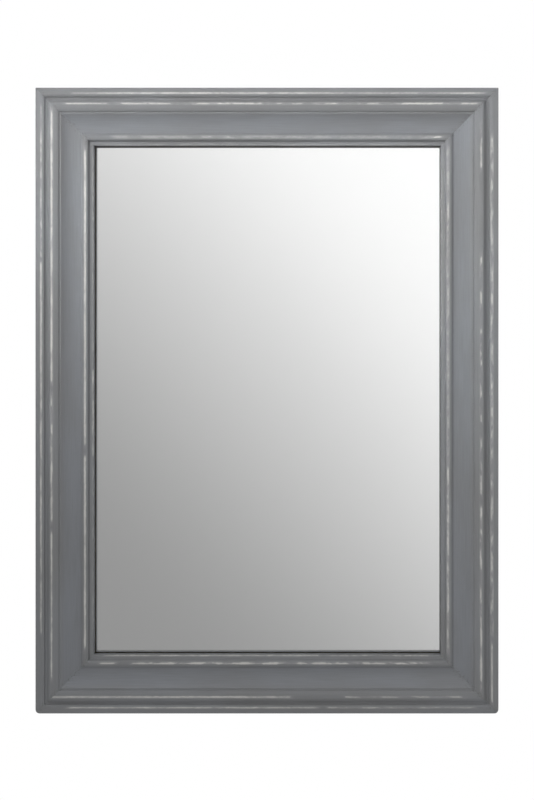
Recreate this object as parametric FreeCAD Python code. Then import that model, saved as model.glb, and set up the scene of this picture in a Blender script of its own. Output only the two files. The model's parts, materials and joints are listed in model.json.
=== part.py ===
import FreeCAD, Part
import math
import os

# Framed wall mirror, in millimetres.
# X runs to the right, seen from the room. Y runs into the wall, and Z is up.
# The origin is on the wall's surface, midway between the two hooks that carry the mirror.
# A section of the moulding is given as u, the distance in from the outer edge,
# and h, the height above the frame's back.

# Frame
frame_width = 660.0
frame_height = 892.0
top_height = 180.0

# Moulding section
moulding_width = 82.0
front_relief = 12.8
lip_thickness = 5.2
rabbet_lip = 8.0
ledge_width = 14.0
back_ease = 1.0

# Mirror pane
glass_thickness = 4.0
glass_gap = 2.0
glass_arris = 0.6
silvering_thickness = 0.2

# Blocks round the pane's edge
block_length = 30.0
block_place_share = 0.6

# Foam packing behind the pane
packing_thickness = 4.6
packing_width = 8.0
packing_inset = 1.5

# Backing board
board_thickness = 3.0
board_gap = 1.0
board_recess = 0.2

# Screws of the backing board, countersunk
board_screw_length = 12.0
board_screw_radius = 1.5
board_screw_head_radius = 3.0
board_screw_head_height = 1.6
board_screw_rim = 0.2
board_screw_tip = 2.0
board_screw_margin = 40.0
board_screw_count_across = 4
board_screw_count_down = 6

# Cross recess of every screw
recess_width = 0.7
recess_span = 3.0
recess_depth = 1.0

# Room round a screw in wood, board or strap
screw_room = 0.05
strap_hole_room = 0.3

# Hangers
wire_radius = 1.5
pin_room = 0.15
strap_sheet = 1.05
strap_width = 15.0
strap_end = 6.0
strap_slit = 0.4
ring_inner_width = 18.0
ring_corner = 2.2
ring_leg = 5.0
ring_butt_gap = 0.6

# Screws of the hangers, pan head
hanger_screw_length = 14.0
hanger_screw_radius = 1.6
hanger_screw_head_radius = 3.2
hanger_screw_head_height = 2.0
hanger_screw_head_edge = 1.0
hanger_screw_tip = 2.4
hanger_screw_first = 8.6
hanger_screw_pitch = 12.4

# Wall pads
pad_height = 6.0
pad_radius = 8.0
pad_round = 2.5
pad_corner_distance = 75.0

# V-nails in the back of each mitre
v_nail_depth = 10.0
v_nail_proud = 0.2
v_nail_leg = 6.0
v_nail_sheet = 0.6
v_nail_return = 1.4
v_nail_place_shares = (0.2, 0.5, 0.8)

# The face of the moulding from the outer side to the sight edge.
# Each pair is a share of the moulding's width and a share of the relief above the lip.
# A pair of pairs is an arc's middle and its end.
face_shares = (
    (0.000, 0.460),
    ((0.006, 0.555), (0.024, 0.600)),
    (0.105, 0.690),
    ((0.134, 0.675), (0.163, 0.610)),
    (0.168, 0.480),
    (0.190, 0.465),
    ((0.215, 0.545), (0.236, 0.690)),
    (0.256, 0.870),
    ((0.270, 0.945), (0.290, 0.980)),
    (0.314, 1.000),
    ((0.366, 0.970), (0.420, 0.865)),
    (0.426, 0.765),
    (0.440, 0.750),
    (0.446, 0.790),
    (0.462, 0.775),
    ((0.600, 0.335), (0.782, 0.275)),
    ((0.816, 0.460), (0.868, 0.545)),
    ((0.895, 0.525), (0.917, 0.440)),
    (0.925, 0.290),
    ((0.931, 0.225), (0.943, 0.195)),
    (0.990, 0.175),
    ((0.998, 0.145), (1.000, 0.085)),
)

# Heights above the frame's back, worked out from the layers in the rabbet
rebate_depth = board_thickness + board_recess
silvering_back = rebate_depth + packing_thickness
glass_back = silvering_back + silvering_thickness
glass_front = glass_back + glass_thickness
lip_top = glass_front + lip_thickness

# Distances in from the outer edge
rabbet_wall = moulding_width - rabbet_lip
rebate_wall = rabbet_wall - ledge_width
ledge_middle = rabbet_wall - ledge_width / 2
back_middle = rebate_wall / 2
glass_edge = rabbet_wall + glass_gap
board_edge = rebate_wall + board_gap

# Places in the room's frame
back_y = -pad_height
top_z = top_height
middle_z = top_height - frame_height / 2
ring_radius = ring_inner_width / 2 + wire_radius
pin_z = -(ring_leg + ring_radius - wire_radius)
knuckle_bore = wire_radius + pin_room
knuckle_radius = knuckle_bore + strap_sheet
pin_y = back_y + knuckle_radius
hanger_x = frame_width / 2 - back_middle
hanger_screw_drops = (hanger_screw_first, hanger_screw_first + hanger_screw_pitch)

# Each side of the frame: its turn about Y from the bottom side, its length, and its outer edge
sides = {
    "bottom": (0, frame_width, (0, middle_z - frame_height / 2)),
    "top": (180, frame_width, (0, top_z)),
    "left": (90, frame_height, (-frame_width / 2, middle_z)),
    "right": (-90, frame_height, (frame_width / 2, middle_z)),
}
origin = FreeCAD.Vector(0, 0, 0)
y_axis = FreeCAD.Vector(0, 1, 0)


def level(h):
    """The Y of a height above the frame's back."""
    return back_y - h


def box(x, y, z):
    """A box between two limits on each axis."""
    low = FreeCAD.Vector(min(x), min(y), min(z))
    return Part.makeBox(abs(x[1] - x[0]), abs(y[1] - y[0]), abs(z[1] - z[0]), low)


def outline(start, steps, to_space):
    """A closed flat face. A step is a point to draw a line to, or an arc's middle and end."""
    edges = []
    here = start
    for step in [*steps, start]:
        arc = isinstance(step[0], tuple)
        end = step[1] if arc else step
        if arc:
            edges.append(Part.Arc(to_space(here), to_space(step[0]), to_space(end)).toShape())
        elif end != here:
            edges.append(Part.makeLine(to_space(here), to_space(end)))
        here = end
    return Part.Face(Part.Wire(edges))


def turned(start, steps):
    """A solid turned about Y from points given as radius and Y."""
    face = outline(start, steps, lambda p: FreeCAD.Vector(p[0], p[1], 0))
    return face.revolve(origin, y_axis, 360)


def on_side(shape, side):
    """Moves a shape from the bottom side's own frame, X along it and Z inwards, to a side."""
    turn, _, (x, z) = sides[side]
    moved = shape.copy()
    moved.rotate(origin, y_axis, turn)
    moved.translate(FreeCAD.Vector(x, 0, z))
    return moved


def face_point(shares):
    """A point of the moulding's face as u and h."""
    return (shares[0] * moulding_width, lip_top + shares[1] * front_relief)


def moulding_face():
    """The moulding's section, with the rabbet for the pane and the rebate for the board."""
    start = (rabbet_wall, glass_front)
    steps = [
        (rabbet_wall, rebate_depth),
        (rebate_wall, rebate_depth),
        (rebate_wall, 0),
        (back_ease, 0),
        (0, back_ease),
    ]
    for shares in face_shares:
        arc = isinstance(shares[0], tuple)
        steps.append((face_point(shares[0]), face_point(shares[1])) if arc else face_point(shares))
    steps.append((moulding_width, glass_front))
    return outline(start, steps, lambda p: FreeCAD.Vector(0, level(p[1]), p[0]))


def mitred_length(length):
    """One length of moulding, mitred at both ends, with its outer edge along X."""
    half = length / 2
    bar = moulding_face()
    bar.translate(FreeCAD.Vector(-half, 0, 0))
    bar = bar.extrude(FreeCAD.Vector(length, 0, 0))
    mitre = [(-half, 0), (half, 0), (half - moulding_width, moulding_width)]
    mitre.append((moulding_width - half, moulding_width))
    front = level(lip_top + front_relief)
    plan = Part.makePolygon([FreeCAD.Vector(x, front, z) for x, z in [*mitre, mitre[0]]])
    wedge = Part.Face(plan).extrude(FreeCAD.Vector(0, back_y - front, 0))
    return bar.common(wedge)


def cross_recess():
    """The cutter for a screw's cross recess, below Y 0."""
    across = (-recess_span / 2, recess_span / 2)
    narrow = (-recess_width / 2, recess_width / 2)
    depth = (-recess_depth, 0)
    return box(across, depth, narrow).fuse(box(narrow, depth, across))


def board_screw(room):
    """A countersunk screw with its head's face at Y 0, or with room the space that it takes."""
    rim = board_screw_head_radius + room
    shank = board_screw_radius + room
    steps = [
        (rim, 0),
        (rim, -board_screw_rim),
        (shank, -board_screw_head_height - room),
        (shank, -board_screw_length + board_screw_tip),
        (0, -board_screw_length - room),
    ]
    return turned((0, 0), steps)


def hanger_screw(room):
    """A pan head screw with its head's seat at Y 0, or with room the space of its shank."""
    rim = hanger_screw_head_radius
    shank = hanger_screw_radius + room
    edge = hanger_screw_head_edge
    height = hanger_screw_head_height
    shoulder = (rim * math.cos(math.pi / 6), edge + (height - edge) * math.sin(math.pi / 6))
    steps = [
        (shank, -hanger_screw_length + hanger_screw_tip),
        (shank, 0),
        (rim, 0),
        (rim, edge),
        (shoulder, (0, height)),
    ]
    return turned((0, -hanger_screw_length - room), steps)


def spread(count, half):
    """Evenly spaced places from minus half to half."""
    return [half * (2 * i / (count - 1) - 1) for i in range(count)]


def board_screw_places():
    """Where the board's screws go: a side, and the place along it."""
    half_width = frame_width / 2 - board_edge - board_screw_margin
    half_height = frame_height / 2 - board_edge - board_screw_margin
    across = spread(board_screw_count_across, half_width)
    down = spread(board_screw_count_down, half_height)
    places = [(side, x) for side in ("bottom", "top") for x in across]
    return places + [(side, x) for side in ("left", "right") for x in down]


def placed_board_screws(shape):
    """A copy of a shape at each of the board's screws."""
    copies = []
    for side, along in board_screw_places():
        copy = shape.copy()
        copy.translate(FreeCAD.Vector(along, level(board_recess), ledge_middle))
        copies.append(on_side(copy, side))
    return copies


def hanger_screw_places():
    """Where the hangers' screws go, for both hangers."""
    return [(x, pin_z - drop) for x in (-hanger_x, hanger_x) for drop in hanger_screw_drops]


def placed_hanger_screws(shape):
    """A copy of a shape at each of the hangers' screws."""
    copies = []
    for x, z in hanger_screw_places():
        copy = shape.copy()
        copy.translate(FreeCAD.Vector(x, back_y + strap_sheet, z))
        copies.append(copy)
    return copies


def v_nail(corner_x, corner_z, u):
    """One V-nail across a mitre. corner_x and corner_z are the signs of the frame's corner."""
    leg = v_nail_leg
    sheet = v_nail_sheet
    turn = v_nail_return
    plan = [(0, 0), (leg, 0), (leg, -turn), (leg + sheet, -turn), (leg + sheet, sheet)]
    plan += [(sheet, sheet)]
    plan += [(b, a) for a, b in reversed(plan[1:5])]
    x = corner_x * (frame_width / 2 - u)
    z = middle_z + corner_z * (frame_height / 2 - u)
    points = [
        FreeCAD.Vector(x - corner_x * a, level(v_nail_depth), z - corner_z * b) for a, b in plan
    ]
    sheet_face = Part.Face(Part.makePolygon([*points, points[0]]))
    return sheet_face.extrude(FreeCAD.Vector(0, v_nail_depth + v_nail_proud, 0))


def v_nails():
    """All V-nails, three at each corner."""
    corners = [(x, z) for x in (-1, 1) for z in (-1, 1)]
    return [v_nail(x, z, s * rebate_wall) for x, z in corners for s in v_nail_place_shares]


def frame_sides(nails):
    """The four mitred lengths, with their V-nail slots and pilot holes."""
    names = {
        "bottom": "frame_bottom_rail",
        "top": "frame_top_rail",
        "left": "frame_left_stile",
        "right": "frame_right_stile",
    }
    holes = placed_board_screws(board_screw(screw_room))
    holes += placed_hanger_screws(hanger_screw(screw_room))
    made = {}
    for side, (_, length, _) in sides.items():
        bar = on_side(mitred_length(length), side)
        near = [cutter for cutter in [*nails, *holes] if touches(cutter, bar)]
        made[names[side]] = bar.cut(near)
    return made


def touches(a, b):
    """Whether two shapes' boxes meet."""
    return a.BoundBox.intersect(b.BoundBox)


def pane_box(edge, h_low, h_high):
    """A flat box inside the frame, its edge a distance in from the frame's outer edge."""
    half_width = frame_width / 2 - edge
    half_height = frame_height / 2 - edge
    z = (middle_z - half_height, middle_z + half_height)
    return box((-half_width, half_width), (level(h_high), level(h_low)), z)


def mirror_glass():
    """The pane, with its edges seamed."""
    pane = pane_box(glass_edge, glass_back, glass_front)
    return pane.makeChamfer(glass_arris, pane.Edges)


def edge_blocks():
    """Rubber blocks that centre the pane in its rabbet, two on each side."""
    names = {
        "bottom": ("setting_block_left", "setting_block_right"),
        "top": ("top_block_right", "top_block_left"),
        "left": ("side_block_upper_left", "side_block_lower_left"),
        "right": ("side_block_lower_right", "side_block_upper_right"),
    }
    made = {}
    for side, (_, length, _) in sides.items():
        place = block_place_share * (length / 2 - rabbet_wall)
        for name, middle in zip(names[side], (-place, place)):
            along = (middle - block_length / 2, middle + block_length / 2)
            block = box(along, (level(glass_front), level(glass_back)), (rabbet_wall, glass_edge))
            made[name] = on_side(block, side)
    return made


def packing_strips():
    """Foam strips between the silvering and the board. The upright ones fit between the others."""
    near = glass_edge + packing_inset
    far = near + packing_width
    depth = (level(silvering_back), level(rebate_depth))
    made = {}
    for side, (_, length, _) in sides.items():
        end = near if side in ("bottom", "top") else far
        half = length / 2 - end
        made[f"packing_strip_{side}"] = on_side(box((-half, half), depth, (near, far)), side)
    return made


def backing_board():
    """The board, countersunk for its screws."""
    board = pane_box(board_edge, board_recess, rebate_depth)
    return board.cut(placed_board_screws(board_screw(screw_room)))


def hanger_strap(x):
    """A strap that is screwed down at its plate and curls round the ring's bar."""
    half = strap_width / 2
    under = -knuckle_radius
    end_z = half - strap_end - hanger_screw_drops[-1]
    plate = box((-half, half), (under, -knuckle_bore), (end_z, 0))
    round_end = Part.makeCylinder(half, strap_sheet, FreeCAD.Vector(0, under, end_z), y_axis)
    left_end = FreeCAD.Vector(-half, 0, 0)
    x_axis = FreeCAD.Vector(1, 0, 0)
    knuckle = Part.makeCylinder(knuckle_radius, strap_width, left_end, x_axis)
    bore = Part.makeCylinder(knuckle_bore, strap_width, left_end, x_axis)
    slit = box((-half, half), (-knuckle_bore, strap_slit - knuckle_bore), (-knuckle_radius, 0))
    strap = plate.fuse([round_end, knuckle]).cut([bore, slit])
    for drop in hanger_screw_drops:
        foot = FreeCAD.Vector(0, under, -drop)
        radius = hanger_screw_radius + strap_hole_room
        strap = strap.cut(Part.makeCylinder(radius, strap_sheet, foot, y_axis))
    strap = strap.removeSplitter()
    strap.translate(FreeCAD.Vector(x, pin_y, pin_z))
    return strap


def hanger_ring(x):
    """A D-ring bent from wire, its butt joint hidden in the strap's curl."""
    far = ring_radius
    turn = ring_corner
    inside = turn * (1 - math.sqrt(0.5))
    points = {
        "start": (ring_butt_gap / 2, 0),
        "corner": (far - turn, 0),
        "corner_middle": (far - inside, inside),
        "leg": (far, turn),
        "bow": (far, ring_leg),
    }
    right = {name: FreeCAD.Vector(px, 0, pz) for name, (px, pz) in points.items()}
    left = {name: FreeCAD.Vector(-px, 0, pz) for name, (px, pz) in points.items()}
    top = FreeCAD.Vector(0, 0, ring_leg + ring_radius)
    edges = [
        Part.makeLine(right["start"], right["corner"]),
        Part.Arc(right["corner"], right["corner_middle"], right["leg"]).toShape(),
        Part.makeLine(right["leg"], right["bow"]),
        Part.Arc(right["bow"], top, left["bow"]).toShape(),
        Part.makeLine(left["bow"], left["leg"]),
        Part.Arc(left["leg"], left["corner_middle"], left["corner"]).toShape(),
        Part.makeLine(left["corner"], left["start"]),
    ]
    section = Part.Wire(Part.makeCircle(wire_radius, right["start"], FreeCAD.Vector(1, 0, 0)))
    ring = Part.Wire(edges).makePipeShell([section], True, False)
    ring.translate(FreeCAD.Vector(x, pin_y, pin_z))
    return ring


def wall_pads():
    """Rubber pads on the backs of the stiles, which rest on the wall."""
    inside = pad_round * (1 - math.sqrt(0.5))
    shoulder = (pad_radius - inside, -inside)
    steps = [(pad_radius, back_y), (pad_radius, -pad_round)]
    steps += [(shoulder, (pad_radius - pad_round, 0)), (0, 0)]
    pad = turned((0, back_y), steps)
    reach = frame_height / 2 - pad_corner_distance
    made = {}
    for row, z in (("top", middle_z + reach), ("bottom", middle_z - reach)):
        for hand, x in (("left", -hanger_x), ("right", hanger_x)):
            copy = pad.copy()
            copy.translate(FreeCAD.Vector(x, 0, z))
            made[f"wall_pad_{row}_{hand}"] = copy
    return made


def all_parts():
    """Every piece of the mirror by name."""
    nails = v_nails()
    recess = cross_recess()
    flat_screw = board_screw(0).cut(recess)
    raised = recess.copy()
    raised.translate(FreeCAD.Vector(0, hanger_screw_head_height, 0))
    pan_screw = hanger_screw(0).cut(raised)
    made = frame_sides(nails)
    made["mitre_v_nails"] = Part.makeCompound(nails)
    made["mirror_glass"] = mirror_glass()
    made["silvering"] = pane_box(glass_edge + glass_arris, silvering_back, glass_back)
    made.update(edge_blocks())
    made.update(packing_strips())
    made["backing_board"] = backing_board()
    made["backing_screws"] = Part.makeCompound(placed_board_screws(flat_screw))
    for hand, x in (("left", -hanger_x), ("right", hanger_x)):
        made[f"hanger_strap_{hand}"] = hanger_strap(x)
        made[f"hanger_ring_{hand}"] = hanger_ring(x)
    made["hanger_screws"] = Part.makeCompound(placed_hanger_screws(pan_screw))
    made.update(wall_pads())
    return made


def main():
    """Writes each piece to its own STEP file and prints its volume."""
    os.makedirs("parts", exist_ok=True)
    for name, shape in all_parts().items():
        if not shape.isValid():
            raise RuntimeError(f"{name} is not a valid shape")
        shape.exportStep(os.path.join("parts", f"{name}.step"))
        print(f"{name}: {len(shape.Solids)} solids, {shape.Volume / 1000:.2f} cm3")


main()
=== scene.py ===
import cmath
import json
import math

import bmesh
import bpy
import numpy as np
from mathutils import Matrix, Vector

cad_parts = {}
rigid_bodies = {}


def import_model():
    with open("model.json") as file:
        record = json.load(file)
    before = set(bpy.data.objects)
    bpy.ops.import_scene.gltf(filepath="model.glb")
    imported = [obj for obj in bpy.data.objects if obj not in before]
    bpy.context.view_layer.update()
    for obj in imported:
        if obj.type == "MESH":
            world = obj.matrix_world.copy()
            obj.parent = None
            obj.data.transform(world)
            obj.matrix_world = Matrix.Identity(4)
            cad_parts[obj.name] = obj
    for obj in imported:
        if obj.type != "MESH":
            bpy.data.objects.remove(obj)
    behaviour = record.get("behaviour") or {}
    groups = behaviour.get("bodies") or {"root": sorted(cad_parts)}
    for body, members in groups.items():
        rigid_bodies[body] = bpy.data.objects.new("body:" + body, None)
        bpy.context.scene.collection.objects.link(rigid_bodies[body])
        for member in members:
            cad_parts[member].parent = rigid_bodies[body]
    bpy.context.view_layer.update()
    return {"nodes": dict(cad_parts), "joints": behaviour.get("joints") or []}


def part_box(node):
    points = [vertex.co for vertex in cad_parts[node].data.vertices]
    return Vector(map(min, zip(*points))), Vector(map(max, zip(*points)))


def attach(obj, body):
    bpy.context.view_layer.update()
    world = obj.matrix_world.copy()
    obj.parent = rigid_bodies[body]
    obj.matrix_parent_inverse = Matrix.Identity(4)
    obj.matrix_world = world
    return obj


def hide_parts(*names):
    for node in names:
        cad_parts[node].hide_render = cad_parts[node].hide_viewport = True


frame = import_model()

bl_info = {
    "name": "Framed wall mirror",
    "version": (1, 0, 0),
    "blender": (4, 5, 0),
    "location": "3D View > Sidebar > Mirror",
    "description": "Builds a wall mirror in a scooped moulding with rubbed grey paint",
    "category": "Object",
}

# The frame's corners, in metres. Y runs into the wall and Z is up.
TOP_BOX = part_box("frame_top_rail")
BOTTOM_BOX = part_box("frame_bottom_rail")
GLASS_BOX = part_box("mirror_glass")
BOARD_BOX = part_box("backing_board")
FRAME_WIDTH = TOP_BOX[1].x - TOP_BOX[0].x
FRAME_HEIGHT = TOP_BOX[1].z - BOTTOM_BOX[0].z
FRAME_MIDDLE_Z = (TOP_BOX[1].z + BOTTOM_BOX[0].z) / 2
FRAME_BACK_Y = TOP_BOX[1].y
MOULDING_WIDTH = TOP_BOX[1].z - TOP_BOX[0].z
MOULDING_DEPTH = TOP_BOX[1].y - TOP_BOX[0].y
GLASS_FRONT_HEIGHT = FRAME_BACK_Y - GLASS_BOX[0].y
REBATE_DEPTH = FRAME_BACK_Y - BOARD_BOX[0].y
BODY = frame["joints"][0]["parent"]

# The moulding's face from the outer side to the sight edge.
# Each pair is a share of the width and a share of the relief above the lip.
# A pair of pairs is an arc's middle and its end.
FACE_SHARES = (
    (0.000, 0.460),
    ((0.006, 0.555), (0.024, 0.600)),
    (0.105, 0.690),
    ((0.134, 0.675), (0.163, 0.610)),
    (0.168, 0.480),
    (0.190, 0.465),
    ((0.215, 0.545), (0.236, 0.690)),
    (0.256, 0.870),
    ((0.270, 0.945), (0.290, 0.980)),
    (0.314, 1.000),
    ((0.366, 0.970), (0.420, 0.865)),
    (0.426, 0.765),
    (0.440, 0.750),
    (0.446, 0.790),
    (0.462, 0.775),
    ((0.600, 0.335), (0.782, 0.275)),
    ((0.816, 0.460), (0.868, 0.545)),
    ((0.895, 0.525), (0.917, 0.440)),
    (0.925, 0.290),
    ((0.931, 0.225), (0.943, 0.195)),
    (0.990, 0.175),
    ((0.998, 0.145), (1.000, 0.085)),
)

# The arrises that are rubbed, as shares like the face's
ARRIS_SHARES = {
    "outer": (0.106, 0.688),
    "middle": (0.314, 1.000),
    "inner": (0.868, 0.545),
    # The sight edge's pale rubbing is partly real wear and partly a painted highlight that lightens the lip
    # where the bead shades it
    "sight": (0.990, 0.175),
}

# How far the rubbing lies off its arris on some sides, as a share of the width
ARRIS_SHIFTS = {
    ("bottom", "outer"): 0.008,
    ("bottom", "middle"): 0.006,
    ("bottom", "inner"): 0.008,
    ("top", "outer"): -0.006,
    ("top", "middle"): -0.023,
    ("top", "inner"): -0.009,
    ("left", "middle"): -0.010,
    ("left", "inner"): -0.006,
    ("right", "outer"): 0.012,
    ("right", "inner"): 0.010,
}

# Where each arris is rubbed: from, to, how far the paint is through, how far it has thinned,
# and how far the rubbing breaks up into dashes.
# The shares run from left to right and from top to bottom.
# The sight rows are partly real rubbing and partly a painted highlight on the lip, which lies in the bead's
# shade
RUB_SHARES = {
    "top": {
        "outer": ((0.07, 0.98, 0.58, 0.2, 0.1), (0.14, 0.62, 0.65, 0.2, 0.1), (0.86, 0.97, 0.62, 0.2, 0.1)),
        "middle": ((0.06, 0.17, 0.62, 0.4, 0.1), (0.17, 0.96, 0.52, 0.6, 0.6), (0.76, 0.95, 0.62, 0.5, 0.0)),
        "inner": ((0.16, 0.88, 0.36, 0.6, 0.5), (0.32, 0.47, 0.42, 0.6, 0.4), (0.85, 0.885, 0.66, 0.5, 0.1)),
        "sight": ((0.14, 0.86, 0.42, 0.2, 0.2),),
    },
    "bottom": {
        "outer": ((0.06, 0.62, 0.62, 0.4, 0.2), (0.62, 0.96, 0.50, 0.3, 0.4)),
        "middle": ((0.02, 0.56, 0.68, 0.5, 0.2), (0.26, 0.47, 0.74, 0.5, 0.2), (0.66, 0.93, 0.52, 0.3, 0.5)),
        "inner": ((0.13, 0.18, 0.80, 0.6, 0.0), (0.20, 0.86, 0.60, 0.5, 0.8), (0.30, 0.54, 0.72, 0.6, 0.3)),
        "sight": ((0.14, 0.62, 0.60, 0.4, 0.2), (0.62, 0.86, 0.50, 0.2, 0.5)),
    },
    "left": {
        "outer": ((0.02, 0.28, 0.57, 0.2, 0.3), (0.27, 0.48, 0.70, 0.4, 0.2), (0.46, 0.88, 0.66, 0.3, 0.3)),
        "middle": ((0.03, 0.48, 0.70, 1.0, 0.2), (0.48, 0.70, 0.64, 0.9, 0.5), (0.70, 0.95, 0.68, 0.5, 0.3)),
        "inner": ((0.09, 0.58, 0.78, 0.5, 0.1), (0.58, 0.905, 0.80, 0.4, 0.3)),
        "sight": ((0.10, 0.58, 0.50, 0.3, 0.2), (0.44, 0.60, 0.62, 0.4, 0.2), (0.58, 0.88, 0.42, 0.2, 0.3)),
    },
    "right": {
        "outer": ((0.07, 0.88, 0.43, 0.9, 0.9), (0.28, 0.74, 0.46, 0.9, 0.9), (0.88, 0.99, 0.70, 0.5, 0.1)),
        "middle": ((0.05, 0.14, 0.56, 0.4, 1.0), (0.26, 0.66, 0.50, 0.4, 1.0), (0.66, 0.97, 0.66, 0.5, 0.8)),
        "inner": ((0.09, 0.90, 0.48, 0.9, 0.4), (0.16, 0.24, 0.58, 0.9, 0.3), (0.60, 0.91, 0.64, 0.8, 0.3)),
        "sight": ((0.12, 0.40, 0.42, 0.2, 0.3),),
    },
}

# What a stretch's last three numbers are, with how much of each there is outside the stretches
WEAR_KINDS = {"rub": 0.2, "thin": 0.0, "break": 0.0}

# Where the cove's cleaner paint begins and ends, as distances in from the outer edge
COVE_RISE = (0.42 * MOULDING_WIDTH, 0.54 * MOULDING_WIDTH)
COVE_FALL = (0.76 * MOULDING_WIDTH, 0.84 * MOULDING_WIDTH)

# How far each of the frame's corners has been knocked round, in metres
CORNER_EASES = {"top": 0.0008, "bottom": 0.006}

# Painted shade: how much lighter or darker the paint is made on each length of moulding, for how the light
# falls on that side
SIDE_SHADE_LEVELS = {"bottom": 1.0, "top": 0.89, "left": 0.98, "right": 1.02}

# Each side of the frame: its turn about Y from the bottom side, and which way its shares run
SIDE_TURNS = {"bottom": 0, "top": 180, "left": 90, "right": -90}
SHARE_RUNS = {"bottom": 1, "top": -1, "left": 1, "right": -1}
SIDE_NODES = {
    "bottom": "frame_bottom_rail",
    "top": "frame_top_rail",
    "left": "frame_left_stile",
    "right": "frame_right_stile",
}

# The metals: two shades of each, and how rough it is
METALS = {
    "Yellow zinc": ((0.46, 0.36, 0.17), (0.56, 0.48, 0.29), 0.28),
    "Bare steel": ((0.32, 0.32, 0.33), (0.42, 0.42, 0.42), 0.36),
    "Nickel plate": ((0.42, 0.41, 0.385), (0.52, 0.505, 0.475), 0.2),
}

# The soft lamps: place and aim from the frame's middle, size, power and spread
LAMPS = (
    ("Top lamp", (0.0, -0.5, 1.2), (0.0, 0.0, 0.0), 0.6, 2.35, 180),
    ("Left lamp", (-0.5, -0.6, 0.5), (0.0, 0.0, 0.0), 0.4, 2.4, 180),
    ("Far left lamp", (-1.6, -1.0, 0.55), (0.0, 0.0, 0.3), 0.4, 0.6, 28),
    ("Upper right lamp", (0.5, -2.0, 0.4), (0.3, 0.0, 0.5), 0.6, 0.9, 40),
    ("Lower right lamp", (0.5, -2.0, 0.1), (0.45, 0.0, -0.4), 0.6, 0.6, 50),
    ("Low lamp", (-0.55, -0.8, -1.0), (0.0, 0.0, 0.0), 0.6, 1.5, 180),
    ("Back lamp", (0.6, 2.2, 0.9), (0.0, 0.0, 0.0), 1.6, 28.0, 180),
)


def metres(name, description, default, least=0.0):
    """A property that is a length."""
    return bpy.props.FloatProperty(
        name=name, description=description, default=default, min=least, unit="LENGTH"
    )


def whole(name, description, default, least):
    """A property that is a whole number."""
    return bpy.props.IntProperty(name=name, description=description, default=default, min=least)


def factor(name, description, default):
    """A property that is a plain factor."""
    return bpy.props.FloatProperty(name=name, description=description, default=default, min=0.0)


def tint(name, description, default):
    """A property that is a colour, in linear light."""
    return bpy.props.FloatVectorProperty(
        name=name, description=description, default=default, size=3, min=0.0, max=1.0, subtype="COLOR"
    )


class MouldingSizes(bpy.types.PropertyGroup):
    """Sizes of the moulding's finer shape."""

    relief: metres("Face relief", "How far the highest bead stands above the lip", 0.0128)
    rabbet_lip: metres("Rabbet lip", "Width of the lip in front of the glass", 0.008)
    ledge: metres("Board ledge", "Width of the ledge that carries the backing board", 0.014)
    corner_round: metres("Corner round", "Radius that sanding leaves on a sharp corner", 0.0005)
    section_step: metres("Section step", "Longest stretch between points of the section", 0.0012, 0.0002)
    arris_step: metres("Arris step", "Longest stretch between points by a rubbed arris", 0.0004, 0.0001)
    length_step: metres("Length step", "Distance between rings of points along a side", 0.004, 0.001)
    rub_radius: metres("Rub radius", "How far from an arris the paint is rubbed", 0.003, 0.0002)
    rub_depth: metres("Rub depth", "How much wood the rubbing takes off an arris", 0.00025)


class PaneSizes(bpy.types.PropertyGroup):
    """Sizes of the silvered pane."""

    silver_gap: metres("Silver gap", "How far the silver lies behind the glass", 0.00005)
    glass_corner: metres("Glass corner", "Radius of the pane's four corners", 0.0015)


class HardwareSizes(bpy.types.PropertyGroup):
    """Sizes of the screws, hangers and pads."""

    screws_across: whole("Screws across", "Screws along each short side of the board", 4, 2)
    screws_down: whole("Screws down", "Screws along each long side of the board", 6, 2)
    screw_margin: metres("Screw margin", "From the board's corner to its first screw", 0.04)
    board_head_radius: metres("Board screw head radius", "Radius of a countersunk head", 0.003)
    board_shank_radius: metres("Board screw radius", "Radius of its shank", 0.0015)
    hanger_head_radius: metres("Hanger screw head radius", "Radius of a pan head", 0.0032)
    hanger_shank_radius: metres("Hanger screw radius", "Radius of its shank", 0.0016)
    hanger_screw_drops: bpy.props.FloatVectorProperty(
        name="Hanger screw drops", description="How far the screws lie below the ring's bar",
        default=(0.0086, 0.0210), size=2, unit="LENGTH",
    )
    screw_facets: whole("Screw facets", "Steps round a screw", 32, 8)
    recess_width: metres("Recess width", "Width of a screw's cross recess", 0.0008)
    recess_span: metres("Recess span", "Span of a screw's cross recess", 0.003)
    recess_depth: metres("Recess depth", "Depth of a screw's cross recess", 0.001)
    wire_radius: metres("Wire radius", "Radius of the D-ring's wire", 0.0015)
    wire_facets: whole("Wire facets", "Steps round the D-ring's wire", 24, 8)
    ring_corner: metres("Ring corner", "Radius of the D-ring's two corners", 0.0022)
    ring_gap: metres("Ring gap", "Gap where the D-ring's wire meets", 0.0006)
    strap_sheet: metres("Strap sheet", "Thickness of the strap's steel", 0.00105)
    strap_edge: metres("Strap edge", "How far the strap's edges are rounded", 0.0003)
    pad_facets: whole("Pad facets", "Steps round a rubber pad", 64, 8)
    pad_edge: metres("Pad edge", "Radius of a rubber pad's edge", 0.0025)
    pad_dish: metres("Pad dish", "How far a rubber pad's middle is sunk", 0.0018)


class PaintColours(bpy.types.PropertyGroup):
    """Colours of the painted timber."""

    paint: tint("Paint", "Top coat of cool grey", (0.2045, 0.2135, 0.2285))
    handled: tint("Handled paint", "Warmer grey that dusting leaves on the beads", (0.208, 0.2135, 0.2205))
    bared: tint("Bared undercoat", "Undercoat where the top coat is rubbed through", (0.62, 0.615, 0.59))
    timber: tint("Timber", "Bare softwood on the back and in the rabbet", (0.47, 0.34, 0.205))
    grime: tint("Grime", "Dirt that has settled in the mitres", (0.07, 0.068, 0.066))


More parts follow.
